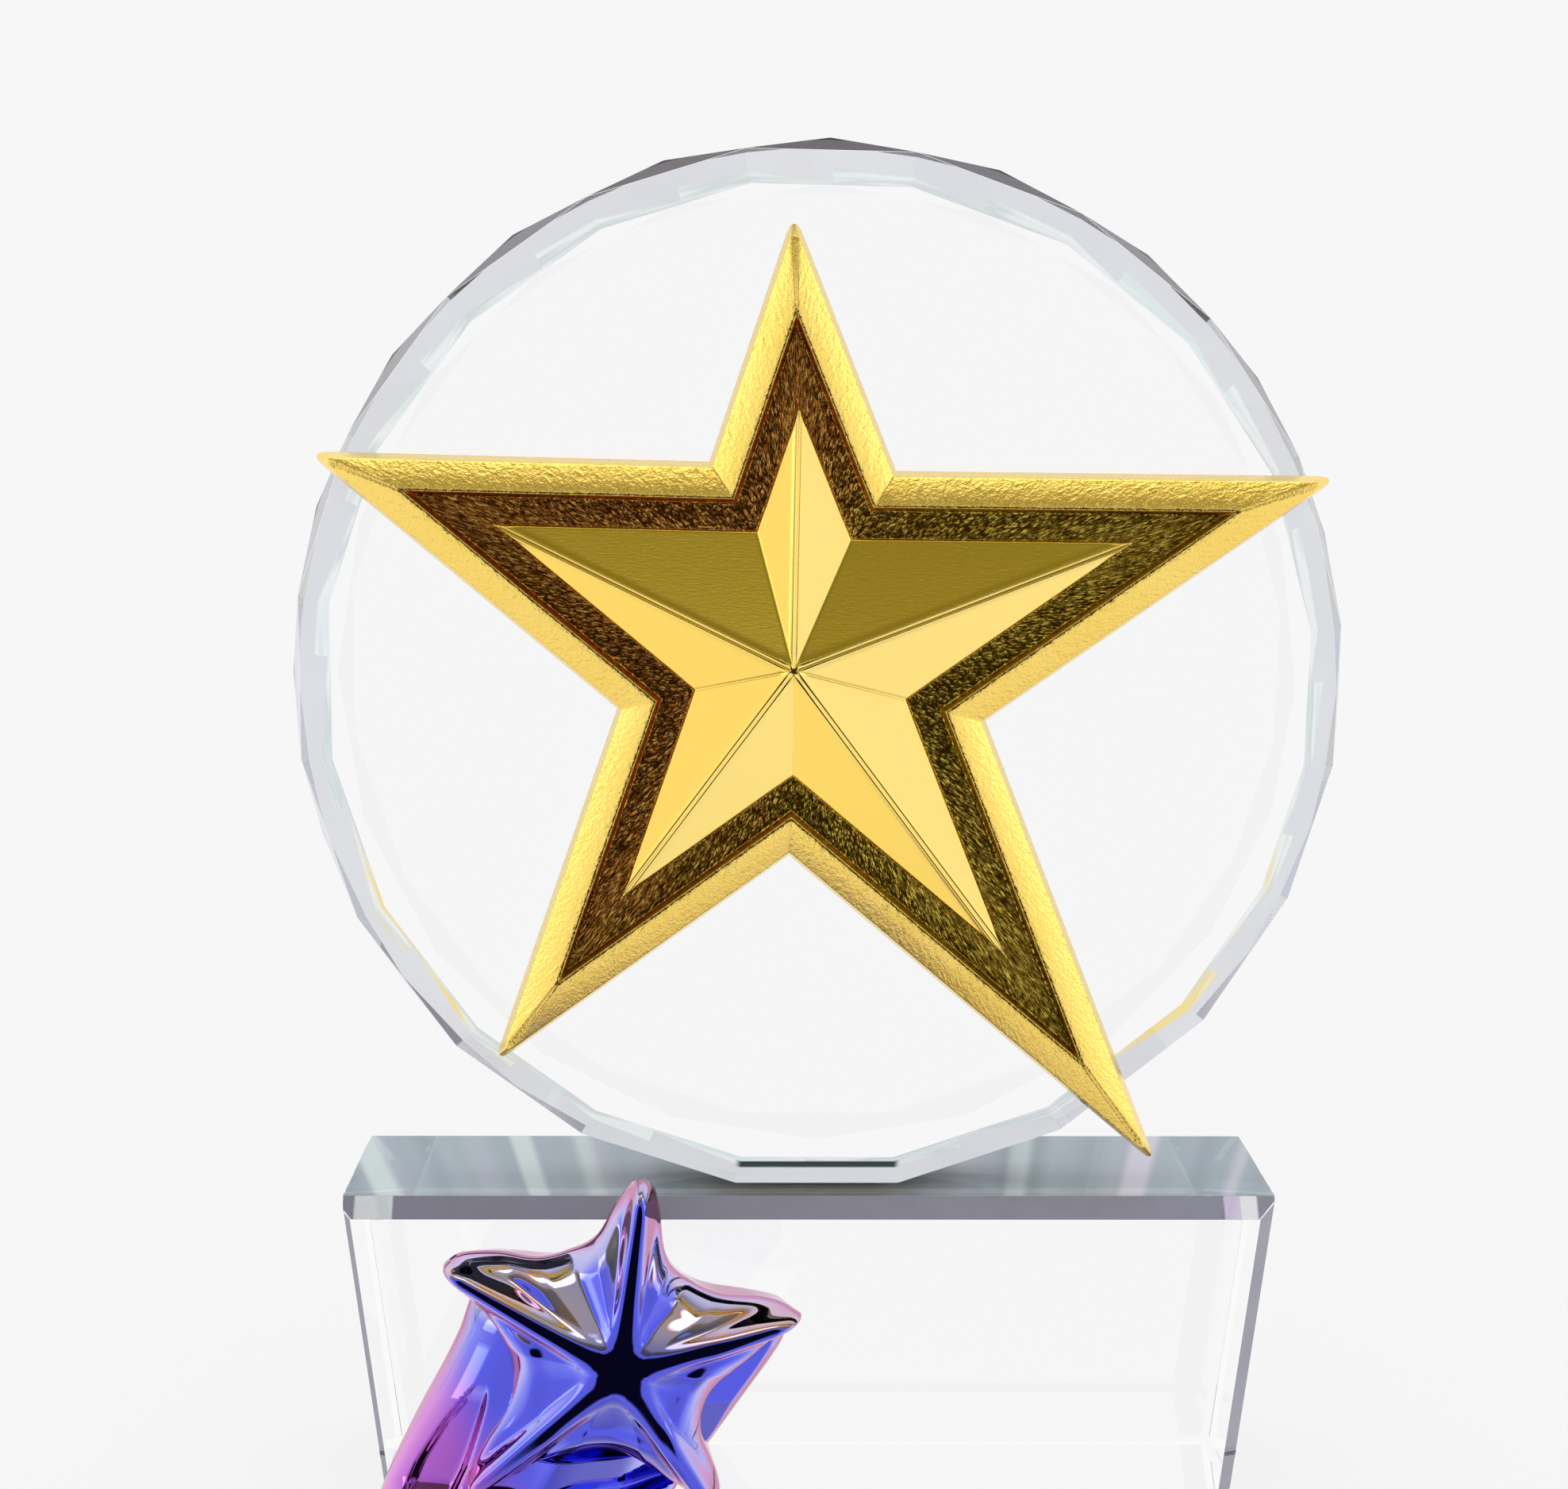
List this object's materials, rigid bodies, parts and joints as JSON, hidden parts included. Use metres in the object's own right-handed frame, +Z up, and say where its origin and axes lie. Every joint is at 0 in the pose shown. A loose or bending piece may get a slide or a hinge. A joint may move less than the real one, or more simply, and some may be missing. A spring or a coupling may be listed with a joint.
{
  "type": "crystal star award",
  "caption": "Faceted clear crystal disc with a relief gold star, standing on a bevelled crystal block that carries a small iridescent glazed shooting star at its front left.",
  "frame": {"origin": "middle of the underside of the block's pad, on the table", "axes": "+Z up, the front with the star faces -Y, +X to the right seen from the front"},
  "size_m": [0.1343, 0.0576, 0.1727],
  "materials": {
    "optical_crystal": "polished optical crystal with flat ground facets",
    "clear_adhesive": "clear cured adhesive",
    "gold_plating": "gold plating, polished on the inner star and hammered on the rim and in the channel",
    "foam_tape": "white double-sided foam tape",
    "iridescent_glaze": "moulded glass with a mirror-bright iridescent coat, blue to violet and pink",
    "silicone_pad": "frosted clear silicone sheet"
  },
  "bodies": {
    "root": {"crystal_block": "optical_crystal", "block_pad": "silicone_pad", "crystal_disc": "optical_crystal", "disc_bond_film": "clear_adhesive", "gold_star": "gold_plating", "star_tape_centre": "foam_tape", "star_tape_leg_1": "foam_tape", "star_tape_leg_2": "foam_tape", "star_tape_leg_3": "foam_tape", "star_tape_leg_4": "foam_tape", "star_tape_leg_5": "foam_tape", "glazed_shooting_star": "iridescent_glaze", "figure_bond_film": "clear_adhesive", "figure_pad": "silicone_pad"}
  },
  "joints": []
}
